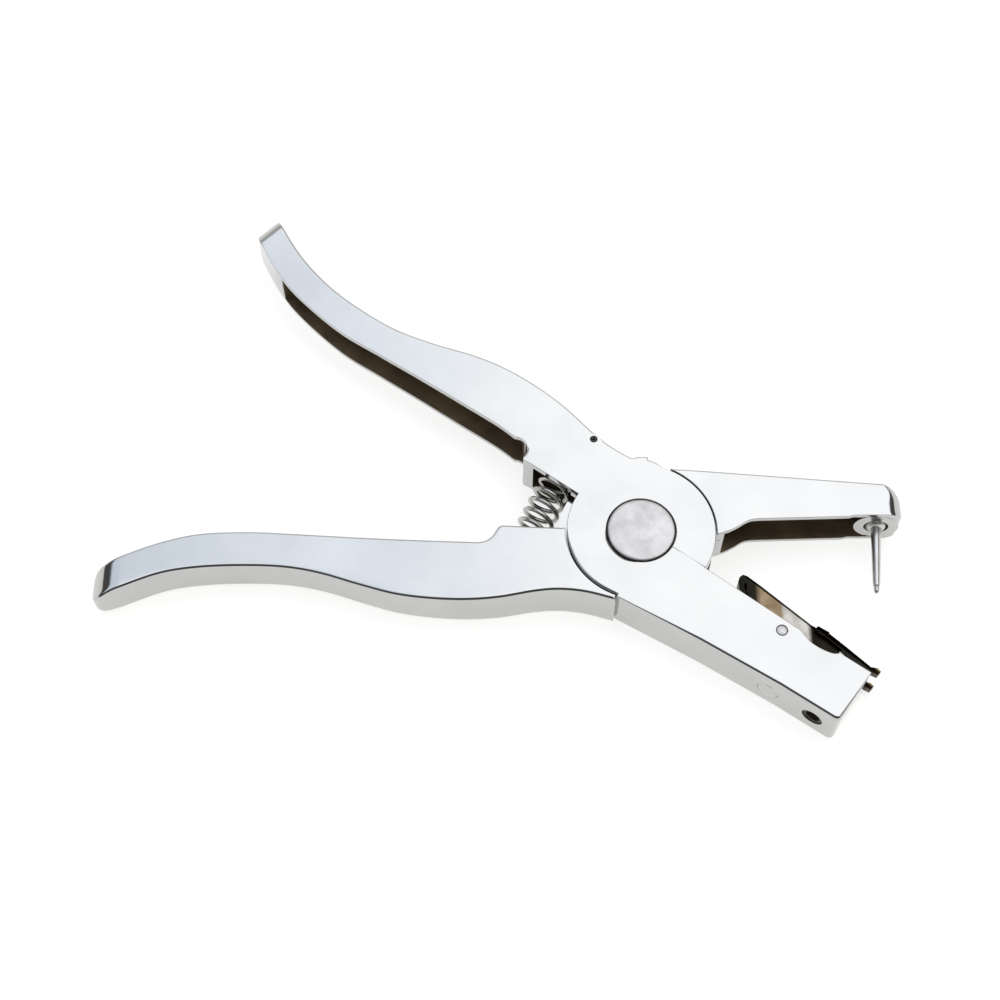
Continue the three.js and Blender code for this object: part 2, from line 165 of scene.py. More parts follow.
def pin_steel():
    g = Graph("pin_steel", (0.72, 0.72, 0.7), 1, 0.16)
    g.drive("Base Color", g.ramp(g.noise(160, 3), [(0.3, (0.50, 0.495, 0.485)), (0.7, (0.60, 0.60, 0.59))]))
    g.drive("Roughness", g.spread(g.noise(600, 3), 0.24, 0.36))
    g.bump(g.noise(900, 3), 0.08, 0.0001)
    return g.mat


def clip_steel():
    """Dark thumb end, bronze and bright stretches that are painted reflections, dark ears and fork, and a
    painted dark line of edge shade along the upper edge.
    """
    thumb_x, fork_x = 0.029, 0.072
    outward, edge_shade_start, edge_shade_end = (0.664, 0.748, 0), 0.0097, 0.0121
    g = Graph("clip_steel", (0.4, 0.36, 0.3), 1, 0.34)
    split = g.add("ShaderNodeSeparateXYZ")
    g.link(g.coord.outputs["Object"], split.inputs["Vector"])
    # the bronze and bright stretches of this ramp are painted reflections, laid along the clip as colour
    painted_reflection_tint = g.ramp(g.fit(split.outputs["X"], thumb_x, fork_x), [
        (0.0, (0.012, 0.011, 0.009)), (0.13, (0.02, 0.018, 0.014)), (0.17, (0.30, 0.225, 0.14)),
        (0.3, (0.27, 0.20, 0.125)), (0.325, (0.52, 0.50, 0.46)), (0.48, (0.50, 0.48, 0.44)),
        (0.51, (0.016, 0.013, 0.009)), (0.9, (0.03, 0.025, 0.018)), (0.94, (0.24, 0.17, 0.10)),
    ])
    distance = g.add("ShaderNodeVectorMath", operation="DOT_PRODUCT")
    distance.inputs[1].default_value = outward
    g.link(g.coord.outputs["Object"], distance.inputs[0])
    # a painted dark line of edge shade along the clip's upper edge
    edge = g.ramp(g.fit(distance.outputs["Value"], edge_shade_start, edge_shade_end), [
        (0.12, (1, 1, 1)), (0.22, (0.06, 0.055, 0.05)), (0.68, (0.06, 0.055, 0.05)), (0.76, (1, 1, 1)),
    ])
    specks = g.ramp(g.noise(260, 6), [(0.3, (0.6, 0.57, 0.52)), (0.7, (1, 1, 1))])
    for layer in (edge, specks):
        mix = g.add("ShaderNodeMix", data_type="RGBA", blend_type="MULTIPLY")
        mix.inputs["Factor"].default_value = 1
        g.link(painted_reflection_tint, mix.inputs["A"])
        g.link(layer, mix.inputs["B"])
        painted_reflection_tint = mix.outputs["Result"]
    g.drive("Base Color", painted_reflection_tint)
    g.drive("Roughness", g.spread(g.noise(300, 4), 0.25, 0.45))
    g.bump(g.noise(600, 4), 0.2, 0.0002)
    return g.mat


def dark_steel():
    g = Graph("dark_steel", (0.03, 0.026, 0.022), 0.2, 0.7)
    g.drive("Base Color", g.ramp(g.noise(500, 6), [
        (0.35, (0.02, 0.018, 0.015)), (0.7, (0.10, 0.086, 0.068)),
    ]))
    g.drive("Roughness", g.spread(g.noise(700, 4), 0.4, 0.6))
    g.bump(g.noise(900, 4), 0.3, 0.0002)
    return g.mat


def cast_inside():
    g = Graph("cast_inside", (0.2, 0.16, 0.11), 0.6, 0.6)
    g.drive("Base Color", g.ramp(g.noise(70, 6), [(0.3, (0.10, 0.074, 0.044)), (0.7, (0.29, 0.222, 0.14))]))
    g.drive("Roughness", g.spread(g.noise(500, 5), 0.45, 0.75))
    g.bump(g.noise(1100, 6), 0.5, 0.0003)
    return g.mat


def brass():
    g = Graph("brass", (0.66, 0.5, 0.27), 1, 0.35)
    g.drive("Base Color", g.ramp(g.noise(200, 4), [(0.3, (0.58, 0.43, 0.22)), (0.7, (0.70, 0.55, 0.31))]))
    g.drive("Roughness", g.spread(g.noise(400, 3), 0.28, 0.42))
    return g.mat


# ---- sizes of the two levers and what they hold, in millimetres; heights are from the back face ----
THICK = 17.0
MID = THICK / 2
WALL = 1.6
POCKET_WALL = 2.2
SLOT = (4.2, 12.8)
TONGUE = (5, 12)
HEAD_SEATS = (2.6, 14.4)
FILLET = 1.4
SMALL_RIM = 0.15
HUB_R, HUB_GAP_R = 23.2, 23.6
HEAD_SEAT_R = 10.9
PIN_ROOT, PIN_LEAN, PIN_LENGTH = (74.85, 5.3), -4.6, 23.2
CLIP_PIVOT = (41.4, -33.7)
CLIP_HOLE_R = 1.76
CLIP_EDGE = 0.00055
ANCHOR_AT, ANCHOR_R = (-14.05, 32.25), 1.15
BORE_TOP, BORE_BOTTOM, BORE_R = (60.6, -42.8), (49.8, -58.4), 3.45
SCREW_AT, SCREW_TURN, SCREW_HOLE_R = (37.0, -49.9), -32.2, 3.5
BOSS_R, BOSS_LENGTH, ROOT_RECESS_R = 7, 9.3, 3.9
SEAT_TONGUE, SEAT_CLEVIS = (-36.6, -2.5), (-21.9, 29.4)
RETURN_COIL_R, RETURN_WIRE_R, RETURN_TURNS = 5.05, 0.75, 9.5
CLIP_COIL_R, CLIP_WIRE_R, CLIP_TURNS = 3.1, 0.5, 3

# How finely the castings are meshed; lengths in millimetres.
SAME_POINT = 0.02
PLAN_EPSILON = 1e-4
TIP_SPACING = 0.6
SEED_GAP = 0.5
RIM_STEPS = 5
MITRE_LIMIT = 0.55


# ---- plan outlines of the two levers ----
class Outline:
    """A closed outline made of lines, arcs and curves."""

    def __init__(self, x, y):
        self.points = [(x, y)]

    def line(self, *points):
        self.points.extend(points)
        return self

    def quad(self, control, end):
        start, steps = self.points[-1], 8
        for i in range(1, steps + 1):
            t = i / steps
            self.points.append(tuple(
                (1 - t) ** 2 * a + 2 * t * (1 - t) * b + t * t * c for a, b, c in zip(start, control, end)))
        return self

    def arc(self, centre, r, start, end, step=3.0):
        count = max(2, round(abs(end - start) / step))
        for i in range(count + 1):
            a = math.radians(start + (end - start) * i / count)
            self.points.append((centre[0] + r * math.cos(a), centre[1] + r * math.sin(a)))
        return self

    def spline(self, points, spacing=1.6):
        """A smooth curve through the points (Catmull-Rom)."""
        knots = [self.points[-1], *points]
        last = len(knots) - 1
        for i in range(last):
            p0, p1 = knots[max(i - 1, 0)], knots[i]
            p2, p3 = knots[i + 1], knots[min(i + 2, last)]
            steps = max(2, round(math.dist(p1, p2) / spacing))
            for k in range(1, steps + 1):
                t = k / steps
                self.points.append(tuple(
                    (2 * b - 2 * c + (c - a) / 2 + (d - b) / 2) * t ** 3
                    + (-3 * b + 3 * c - (c - a) - (d - b) / 2) * t ** 2 + (c - a) / 2 * t + b
                    for a, b, c, d in zip(p0, p1, p2, p3)))
        return self

    def closed(self):
        """The points once each, in counter-clockwise order."""
        kept = []
        for p in self.points:
            if not kept or math.dist(p, kept[-1]) > SAME_POINT:
                kept.append(p)
        if math.dist(kept[0], kept[-1]) < SAME_POINT:
            kept.pop()
        area = sum(a[0] * b[1] - b[0] * a[1] for a, b in zip(kept, kept[1:] + kept[:1]))
        return kept if area > 0 else kept[::-1]


def circle(centre, r, step=4.0):
    return Outline(centre[0] + r, centre[1]).arc(centre, r, 0, 360, step).closed()


def sector(r, start, end):
    return Outline(0, 0).arc((0, 0), r, start, end).closed()


def upper_handle():
    o = Outline(0, 0).line((7.3, 10), (7.3, 22.3), (5.5, 24), (3.2, 25), (3, 26.1), (-0.5, 26.1))
    o.line((-1.4, 25.6))
    o.spline([(-2.7, 25.9), (-6, 28.1), (-12.2, 33), (-24.6, 46), (-37.4, 56), (-50.5, 63.1), (-66.5, 68.9),
              (-80.5, 75.5), (-97.1, 88), (-109.4, 101.8), (-118.6, 117.4)])
    o.quad((-119.9, 119.6), (-121.5, 118)).spline([(-123.2, 116.3), (-124.8, 114.7)], 0.7)
    o.quad((-126.8, 112.8), (-125.6, 110.4))
    o.spline([(-119.3, 98.3), (-111.5, 87.6), (-97.2, 73.7), (-83.6, 64.3), (-70.2, 55.3),
              (-57, 46.2), (-45, 37.9), (-39.2, 33.1)])
    o.arc((-39.3, 29.1), 4, 88, -48, 9).line((-36.4, 24.7), (-34.4, 23.6), (-18.2, 12))
    return o.closed()


def lower_jaw():
    o = Outline(0, 0).line((-8.3, -12), (-8.3, -22.5), (16.4, -37), (39.6, -51.5), (54.6, -61.8))
    o.quad((56.4, -62.9), (57.4, -61.4)).line((67.3, -47.4), (58.3, -41))
    o.spline([(56.6, -41.2), (53.9, -40.2), (51, -38.4), (49, -36.4), (47.2, -33.7)])
    return o.line((19.3, -12.9)).closed()


def upper_handle_hollow():
    o = Outline(-36.8, 24).line((-35.8, 29), (-37.8, 52.9))
    o.spline([(-51.6, 60.7), (-67.4, 66.4), (-82, 73.3), (-99, 86.3), (-108.6, 97.2), (-112.4, 102.6)])
    return o.line((-118, 92.5), (-106, 77), (-83, 60), (-50, 37), (-41, 30)).closed()


def lower_jaw_hollow():
    o = Outline(21.5, -11).arc((0, 0), 24.8, -32, -87)
    return o.line((17.9, -34.5), (41, -49), (43.9, -51.2), (55.6, -35), (47, -28)).closed()


def lower_handle():
    o = Outline(-8.6, -8).line((-20, 0.8), (-43.4, 2.1))
    o.spline([(-44.6, 1.4), (-46.2, -1.3), (-48.2, -3), (-50.6, -3.6)], 1.0)
    o.spline([(-75, -2.4), (-106, -0.5), (-121.7, 0.3), (-137.2, -0.3), (-149.4, -3.2), (-161.4, -7.9),
              (-166.6, -10.6)])
    o.quad((-169.4, -12.1), (-169.8, -15)).spline([(-170, -16.8), (-170.1, -18.6)], 0.7)
    o.quad((-170, -22.6), (-166.6, -21.5))
    o.spline([(-160.4, -18.8), (-148.5, -14.2), (-136.3, -12.2), (-122, -11.7), (-110, -12.3),
              (-99.2, -14.4), (-86.7, -18.4), (-76, -21.5), (-65, -23.1), (-54, -23.6), (-43.9, -22.9),
              (-33, -21), (-25.6, -20.5), (-17.5, -21.4), (-8.6, -23.9)])
    return o.closed()


def upper_jaw():
    o = Outline(8, 8).line((10, 10), (10, 21.8)).spline([(19.3, 21.2), (44.4, 19.1), (76.5, 16.4)], 3)
    o.quad((82, 16), (82.3, 10.5)).line((82.4, 6.6), (81.4, 5.3), (66.8, 5.2), (65.2, 4.8), (37.1, 4))
    o.spline([(34.4, 3.7), (32.4, 2.8), (30.8, 1.7), (27.6, 0)])
    return o.line((23.3, -1.5), (12, -1)).closed()


def lower_handle_hollow():
    o = Outline(-46.6, 6).line((-46.6, -20.4))
    o.spline([(-54, -21), (-65, -20.5), (-76, -18.9), (-86.7, -15.8), (-99.2, -11.8), (-110, -9.7),
              (-122, -9.1), (-136.3, -9.6), (-148.5, -11.6), (-156, -14.2)])
    return o.line((-161, -12.5), (-159, 2), (-130, 6)).closed()


def upper_jaw_hollow():
    o = Outline(27, -8).arc((0, 0), 26, -9, 45.5)
    return o.line((31.8, 17.6), (76, 13.8), (74.3, -8)).closed()


# ---- solids that are flat plates and walls: one plan mesh, filled level by level ----
class Prism:
    """Fills the cells of a plan mesh between levels, with rounded rims on the front and back faces."""

    def __init__(self, regions, levels, solid, dull, fillet, tips):
        self.levels = levels
        self.tips = tips
        self.fillet = fillet
        self.solid = solid
        self.dull = dull
        self.verts, self.faces, self.inside = [], [], []
        points, rings = [], []
        for _, ring in regions:
            ring = self.refined(ring)
            rings.append(list(range(len(points), len(points) + len(ring))))
            points.extend(Vector(p) for p in ring)
        plan, _, cells, _, _, owners = delaunay_2d_cdt(points, [], rings, 0, PLAN_EPSILON)
        self.plan = plan
        self.cells = [tuple(c) for c in cells]
        self.kinds = [frozenset(regions[i][0] for i in owner) for owner in owners]
        self.sides = {}
        for index, cell in enumerate(self.cells):
            for a, b in zip(cell, cell[1:] + cell[:1]):
                self.sides[(a, b)] = index

    def refined(self, ring):
        """Splits the sides of a ring where they run along the rounded end of a lever."""
        finer = []
        for p, q in zip(ring, ring[1:] + ring[:1]):
            p, q = Vector(p), Vector(q)
            curved = any(max(tip.along(p), tip.along(q)) > tip.end - tip.length - 1 for tip in self.tips)
            count = math.ceil((q - p).length / TIP_SPACING) if curved else 1
            finer.extend(p.lerp(q, i / count) for i in range(count))
        return finer

    def kind(self, index):
        return self.kinds[index] if index is not None else frozenset()

    def add(self, corners, inside=False):
        base = len(self.verts)
        self.verts.extend(corners)
        self.faces.append(tuple(range(base, base + len(corners))))
        self.inside.append(inside)

    def build(self):
        low, high = self.levels[0] + FILLET, self.levels[-1] - FILLET
        inner = [z for z in self.levels if low < z < high]
        marks = [low, *inner, high]
        bands = list(zip(marks, marks[1:]))
        for (a, b), index in self.sides.items():
            other = self.sides.get((b, a))
            here, there = self.kind(index), self.kind(other)
            for z0, z1 in bands:
                mid = (z0 + z1) / 2
                if self.solid(here, mid) and not self.solid(there, mid):
                    pa, pb = self.plan[a], self.plan[b]
                    self.add([(*pa, z0), (*pb, z0), (*pb, z1), (*pa, z1)], self.dull(there))
        for index, cell in enumerate(self.cells):
            here = self.kind(index)
            for z, below, above in zip(marks[1:-1], bands, bands[1:]):
                under = self.solid(here, sum(below) / 2)
                over = self.solid(here, sum(above) / 2)
                if under != over:
                    ring = cell if under else cell[::-1]
                    self.add([(*self.plan[i], z) for i in ring], "tongue" not in here)
        self.rim(bands[-1], high, 1)
        self.rim(bands[0], low, -1)

    def loops(self, band):
        """The closed outlines of the solid in one band, holes among them."""
        mid = sum(band) / 2
        nexts = {}
        for (a, b), index in self.sides.items():
            here, there = self.kind(index), self.kind(self.sides.get((b, a)))
            if self.solid(here, mid) and not self.solid(there, mid):
                nexts[a] = b
        found = []
        while nexts:
            start, at = next(iter(nexts.items()))
            loop = [start]
            del nexts[start]
            while at != start:
                loop.append(at)
                at = nexts.pop(at)
            found.append([self.plan[i] for i in loop])
        return found

    def rim(self, band, z, way):
        """Rounds the edges of one face, by the fillet's radius at each point, and closes the face."""
        inner_loops = []
        for loop in self.loops(band):
            shift = inset(loop)
            radii = [self.fillet(p, s) for p, s in zip(loop, shift)]
            rings = [[(*p, z) for p in loop]]
            for k in range(RIM_STEPS + 1):
                angle = k / RIM_STEPS * math.pi / 2
                out, lift = 1 - math.cos(angle), math.sin(angle) - 1
                rings.append([(p.x + s.x * r * out, p.y + s.y * r * out, z + way * (FILLET + r * lift))
                              for p, s, r in zip(loop, shift, radii)])
            for lower, upper in zip(rings, rings[1:]):
                for i in range(len(loop)):
                    j = (i + 1) % len(loop)
                    quad = [lower[i], lower[j], upper[j], upper[i]]
                    self.add(quad if way > 0 else quad[::-1])
            inner_loops.append([Vector(p[:2]) for p in rings[-1]])
        self.cap(inner_loops, z + way * FILLET, way)

    def cap(self, loops, z, way):
        points, edges = [], []
        for loop in loops:
            base, n = len(points), len(loop)
            points.extend(loop)
            edges.extend((base + i, base + (i + 1) % n) for i in range(n))
        points.extend(p for p in self.seeds() if clear_of(p, loops))
        verts, _, cells, *_ = delaunay_2d_cdt(points, edges, [], 0, PLAN_EPSILON)
        for cell in cells:
            centre = sum((verts[i] for i in cell), Vector((0, 0))) / len(cell)
            if contains(loops, centre):
                ring = [(*verts[i], z) for i in cell]
                self.add(ring if way > 0 else ring[::-1])

    def seeds(self):
        """Points inside the faces, close together where a face curves down at a tip."""
        found = []
        fine, coarse, reach = 0.5, 4.0, 60
        for tip in self.tips:
            along = Vector((math.cos(tip.angle), math.sin(tip.angle)))
            across = Vector((-along.y, along.x))
            d = tip.end - 0.3
            while d > tip.start - 6:
                step = fine if d > tip.end - tip.length - 1 else coarse
                found.extend(along * d + across * (k * max(step, 0.8)) for k in range(-reach, reach + 1))
                d -= step
        return found


class Tip:
    """How a lever thins towards one end. From start to full, as distances along the angle, the faces lean in
    by lean; over the last length before end they round off by depth."""

    def __init__(self, angle, start, full, end, lean, length, depth):
        self.angle, self.start, self.full, self.end = math.radians(angle), start, full, end
        self.lean, self.length, self.depth = lean, length, depth

    def along(self, p):
        return p[0] * math.cos(self.angle) + p[1] * math.sin(self.angle)

    def half(self, x, y):
        d = self.along((x, y))
        t = min(1.0, max(0.0, (d - self.start) / (self.full - self.start)))
        u = min(1.0, max(0.0, (d - self.end + self.length) / self.length))
        return MID - self.lean * t - self.depth * (1 - math.sqrt(1 - u * u))


class JawEnd(Tip):
    """The rounding of the upper jaw's end, which follows its corner and fades out along the top edge."""
    CORNER, RADIUS = (76.6, 10.5), 5.8

    def half(self, x, y):
        dx, dy = x - self.CORNER[0], y - self.CORNER[1]
        if dx <= 0 or dy <= 0:
            return super().half(x, y)
        r = math.hypot(dx, dy)
        size = self.length * dx / r
        u = min(1.0, max(0.0, (r - self.RADIUS + size) / size))
        return MID - self.depth * dx / r * (1 - math.sqrt(1 - u * u))


def inset(loop):
    """For each point, the way into the solid, long enough to keep mitred corners even."""
    shifts = []
    n = len(loop)
    for i, p in enumerate(loop):
        before = (p - loop[i - 1]).normalized()
        after = (loop[(i + 1) % n] - p).normalized()
        n0, n1 = Vector((-before.y, before.x)), Vector((-after.y, after.x))
        shifts.append((n0 + n1) / max(MITRE_LIMIT, 1 + n0.dot(n1)))
    return shifts


def contains(loops, p):
    """Whether a point lies inside the loops, counting the crossings of a ray."""
    odd = False
    for loop in loops:
        for a, b in zip(loop, loop[1:] + loop[:1]):
            if (a.y > p.y) != (b.y > p.y) and p.x < (b.x - a.x) * (p.y - a.y) / (b.y - a.y) + a.x:
                odd = not odd
    return odd


def clear_of(p, loops):
    return contains(loops, p) and all((p - q).length > SEED_GAP for loop in loops for q in loop)


def object_from(name, verts, faces, finishes, inside=None):
    mesh = bpy.data.meshes.new(name)
    mesh.from_pydata([tuple(c * MM for c in v) for v in verts], [], faces)
    for finish in finishes:
        mesh.materials.append(finish)
    if inside:
        mesh.polygons.foreach_set("material_index", [int(flag) for flag in inside])
    obj = bpy.data.objects.new(name, mesh)
    bpy.context.scene.collection.objects.link(obj)
    return obj


def smooth(obj, angle=SHARP, weigh=True):
    bm = bmesh.new()
    bm.from_mesh(obj.data)
    bmesh.ops.remove_doubles(bm, verts=bm.verts, dist=WELD)
    bmesh.ops.recalc_face_normals(bm, faces=bm.faces)
    bm.to_mesh(obj.data)
    bm.free()
    obj.data.shade_smooth()
    obj.data.set_sharp_from_angle(angle=math.radians(angle))
    if weigh:
        mod = obj.modifiers.new("even_normals", "WEIGHTED_NORMAL")
        mod.keep_sharp = True
        mod.weight = 70


def shell(name, regions, levels, solid, dull, fillet, tips):
    """A lever: its prism, thinned towards the tips, in chrome with cast metal inside."""
    prism = Prism(regions, levels, solid, dull, fillet, tips)
    prism.build()
    verts = []
    for x, y, z in prism.verts:
        half = min(tip.half(x, y) for tip in tips)
        verts.append((x, y, MID + (z - MID) * half / MID))
    return object_from(name, verts, prism.faces, [FINISH["chrome"], FINISH["inside"]], prism.inside)


def between(z, low, high):
    return low < z < high


def clevis_shell():
    regions = [
        ("body", upper_handle()), ("body", circle((0, 0), HUB_R, 2.5)), ("body", lower_jaw()),
        ("hollow", upper_handle_hollow()), ("jaw_hollow", lower_jaw_hollow()),
        ("pocket", Outline(-33.4, 18).line((-33.4, 34.7), (-11.5, 24.6), (-6, 12), (-20, 6)).closed()),
        ("pocket_end", circle((0, 0), 25.9, 3)), ("slot", circle((0, 0), 20.7, 3)),
        ("slot", sector(26.2, 112, 249.7)), ("slot", sector(30, -36.5, 83)),
        ("head", circle((0, 0), HEAD_SEAT_R, 3)), ("hole", circle((0, 0), 4.2, 10)),
        ("hole", circle(ANCHOR_AT, ANCHOR_R, 20)), ("hole", circle(CLIP_PIVOT, CLIP_HOLE_R, 15)),
    ]

    def solid(kinds, z):
        if "body" not in kinds or "hole" in kinds:
            return False
        if kinds & {"hollow", "jaw_hollow"} and between(z, WALL, THICK - WALL):
            return False
        if "pocket" in kinds and "pocket_end" not in kinds and between(z, POCKET_WALL, THICK - POCKET_WALL):
            return False
        if "slot" in kinds and between(z, *SLOT):
            return False
        return "head" not in kinds or between(z, *HEAD_SEATS)

    def dull(kinds):
        return "body" in kinds and not kinds & {"head", "hole"}

    def fillet(p, into):
        """Roundest at the hub's lower left, sharp round the small holes, softer on the lower edges."""
        if p.length < HUB_R + 0.4:
            turn = math.degrees(math.atan2(p.y, p.x)) % 360
            return 0.25 + 0.75 * min(1.0, max(0.0, 2 - abs(turn - 220) / 22))
        if (p - Vector(ANCHOR_AT)).length < 2 or (p - Vector(CLIP_PIVOT)).length < 3:
            return SMALL_RIM
        if p.y > 5:
            return SMALL_RIM if into.y > 0 else 0.7 if p.x > -6 else 0.8
        return min(1.3, max(0.4, 0.6 + p.x / 25)) if into.y > 0 else 0.3

    levels = sorted([0, WALL, POCKET_WALL, *SLOT, *HEAD_SEATS, THICK - POCKET_WALL, THICK - WALL, THICK])
    tips = [Tip(angle=135, start=75, full=160, end=169.6, lean=1.6, length=5, depth=5)]
    return shell("clevis_casting", regions, levels, solid, dull, fillet, tips)


def tongue_shell():
    regions = [
        ("body", lower_handle()), ("body", upper_jaw()), ("hollow", lower_handle_hollow()),
        ("hollow", upper_jaw_hollow()),
        ("pocket", Outline(-43.9, 0.86).line((-27.3, -6.78), (-27.3, 8), (-43.9, 8)).closed()),
        ("gap", circle((0, 0), HUB_GAP_R, 2.5)), ("tongue", circle((0, 0), 20.3, 3)),
        ("tongue", sector(25.8, 150, 178)), ("tongue", sector(24.6, 176, 247.3)),
        ("tongue", sector(24.6, -3, 66)), ("tongue", sector(22.9, 60, 82.4)),
        ("hole", circle((0, 0), 6.2, 10)),
    ]

    def solid(kinds, z):
        if "hole" in kinds:
            return False
        if "tongue" in kinds and between(z, *TONGUE):
            return True
        if "body" not in kinds or "gap" in kinds:
            return False
        if "hollow" in kinds and between(z, WALL, THICK - WALL):
            return False
        return not ("pocket" in kinds and between(z, POCKET_WALL, THICK - POCKET_WALL))

    def dull(kinds):
        return "body" in kinds and "gap" not in kinds

    def fillet(p, into):
        """Sharp round the hub's gap and on the upper jaw's lower edge, widest along the grip's lower edge."""
        if p.length < HUB_GAP_R + 0.5:
            return 0.25
        if p.x > 0:
            return SMALL_RIM if into.y > 0 else 0.8
        return 1.25 + 0.15 * max(0.0, 1 - abs(p.x + 35) / 50) if into.y > 0 else 0.8

    tips = [
        Tip(angle=180, start=22, full=90, end=170.2, lean=1.5, length=9, depth=7),
        JawEnd(angle=0, start=60, full=70, end=82.4, lean=0, length=5.8, depth=5),
    ]
    levels = [0, WALL, POCKET_WALL, *TONGUE, THICK - POCKET_WALL, THICK - WALL, THICK]
    return shell("tongue_casting", regions, levels, solid, dull, fillet, tips)


# ---- turned pieces ----
def turned(name, profile, finish, place=None, sides=64):
    """A profile of (radius, height) points turned about Z, then placed by a matrix, all in millimetres."""
    verts, faces = [], []
    for k in range(sides):
        a = 2 * math.pi * k / sides
        verts.extend((r * math.cos(a), r * math.sin(a), z) for r, z in profile)
    n = len(profile)
    for k in range(sides):
        here, there = k * n, (k + 1) % sides * n
        for i in range(n - 1):
            faces.append((here + i, there + i, there + i + 1, here + i + 1))
    if place is not None:
        verts = [tuple(place @ Vector(v)) for v in verts]
    obj = object_from(name, verts, faces, [FINISH[finish]])
    smooth(obj)
    return obj


def lying(at, turn):
    """Stands a turned piece's axis along +Y of the plan, turned about the vertical."""
    spin = Matrix.Rotation(math.radians(turn), 4, "Z")
    lay = Matrix.Rotation(-math.pi / 2, 4, "X")
    return Matrix.Translation((*at, MID)) @ spin @ lay


def combine(obj, tool, operation):
    """Joins a closed tool to a casting, or cuts it out, and removes the tool."""
    mod = obj.modifiers.new("join", "BOOLEAN")
    mod.operation = operation
    mod.solver = "EXACT"
    mod.object = tool
    bpy.context.view_layer.update()
    made = bpy.data.meshes.new_from_object(obj.evaluated_get(bpy.context.evaluated_depsgraph_get()))
    obj.modifiers.clear()
    obj.data = made
    bpy.data.objects.remove(tool)


def seam_tool():
    """A fine groove in the front face, from the pivot head along the jaw's upper edge line."""
    start, end = Vector((9.2, -5.35)), Vector((19.9, -13.3))
    half_width, depth = 0.045, 0.05
    across = (end - start).orthogonal().normalized() * half_width
    plan = [start - across, end - across, end + across, start + across]
    verts = [(*p, z) for z in (THICK - depth, THICK + 0.3) for p in plan]
    faces = [(3, 2, 1, 0), (4, 5, 6, 7), *((i, (i + 1) % 4, (i + 1) % 4 + 4, i + 4) for i in range(4))]
    return object_from("tool", verts, faces, [FINISH["chrome"]])


def lying_bar(r, start, end, at, turn, finish="chrome"):
    return turned("tool", [(0, start), (r, start), (r, end), (0, end)], finish, lying(at, turn), 48)


def stand_in(obj, body, slot, *nodes):
    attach(obj, body)
    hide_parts(*nodes)


def tube(name, path, r, finish, sides=12):
    """A round wire along a list of points, in millimetres."""
    verts, faces = [], []
    side = Vector((0, 0, 1))
    count = len(path)
    for i, p in enumerate(path):
        run = (path[min(i + 1, count - 1)] - path[max(i - 1, 0)]).normalized()
        side = (side - run * side.dot(run)).normalized()
        up = run.cross(side)
        for k in range(sides):
            a = 2 * math.pi * k / sides
            verts.append(tuple(p + side * (r * math.cos(a)) + up * (r * math.sin(a))))
    for i in range(count - 1):
        for k in range(sides):
            n = (k + 1) % sides
            faces.append((i * sides + k, i * sides + n, (i + 1) * sides + n, (i + 1) * sides + k))
    faces.append(tuple(range(sides))[::-1])
    faces.append(tuple(range((count - 1) * sides, count * sides)))
    obj = object_from(name, verts, faces, [FINISH[finish]])
    smooth(obj, 60, weigh=False)
    return obj


def return_spring():
    """The coil between the handles, its end turns closed."""
    low, high = Vector((*SEAT_TONGUE, MID)), Vector((*SEAT_CLEVIS, MID))
    axis = (high - low).normalized()
    inset_ends = axis * 1.1
    low, high = low + inset_ends, high - inset_ends
    length, turns, closed, r = (high - low).length, RETURN_TURNS, 1.6, RETURN_COIL_R
    front = axis.cross(Vector((0, 0, 1)))
    pitch = (length - 2 * closed) / (turns - 2)
    path = []
    steps = 340
    for i in range(steps + 1):
        turn = i / steps * turns
        if turn < 1:
            height = turn * closed
        elif turn > turns - 1:
            height = length - (turns - turn) * closed
        else:
            height = closed + (turn - 1) * pitch
        a = 2 * math.pi * turn
        path.append(low + axis * height + front * (r * math.cos(a)) + Vector((0, 0, r * math.sin(a))))
    spring = tube("return_spring_wire", path, RETURN_WIRE_R, "wire")
    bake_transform(spring)
    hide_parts("return_spring")


def clip_spring():
    """The wire spring round the clip's rivet: one leg rests in the jaw, the other rides on the clip."""
    low, high = 6.2, 10.7
    foot, tail = Vector((40.6, -47.2, low)), Vector((32.6, -17.8, 10.9))
    away = tail.xy - Vector(CLIP_PIVOT)
    first = math.radians(188)
    last = math.atan2(away.y, away.x) + math.acos(CLIP_COIL_R / away.length)
    sweep = first - last + CLIP_TURNS * 2 * math.pi
    steps, foot_steps, tail_steps = 150, 12, 24
    rounds = []
    for i in range(steps + 1):
        a = first - sweep * i / steps
        x = CLIP_PIVOT[0] + CLIP_COIL_R * math.cos(a)
        y = CLIP_PIVOT[1] + CLIP_COIL_R * math.sin(a)
        rounds.append(Vector((x, y, low + (high - low) * i / steps)))
    leaves = rounds[-1]
    path = [foot.lerp(rounds[0], i / foot_steps) for i in range(foot_steps)] + rounds
    path.extend(leaves.lerp(tail, i / tail_steps) for i in range(1, tail_steps + 1))
    spring = tube("clip_spring_wire", path, CLIP_WIRE_R, "wire")
    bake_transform(spring)
    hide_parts("clip_torsion_spring")


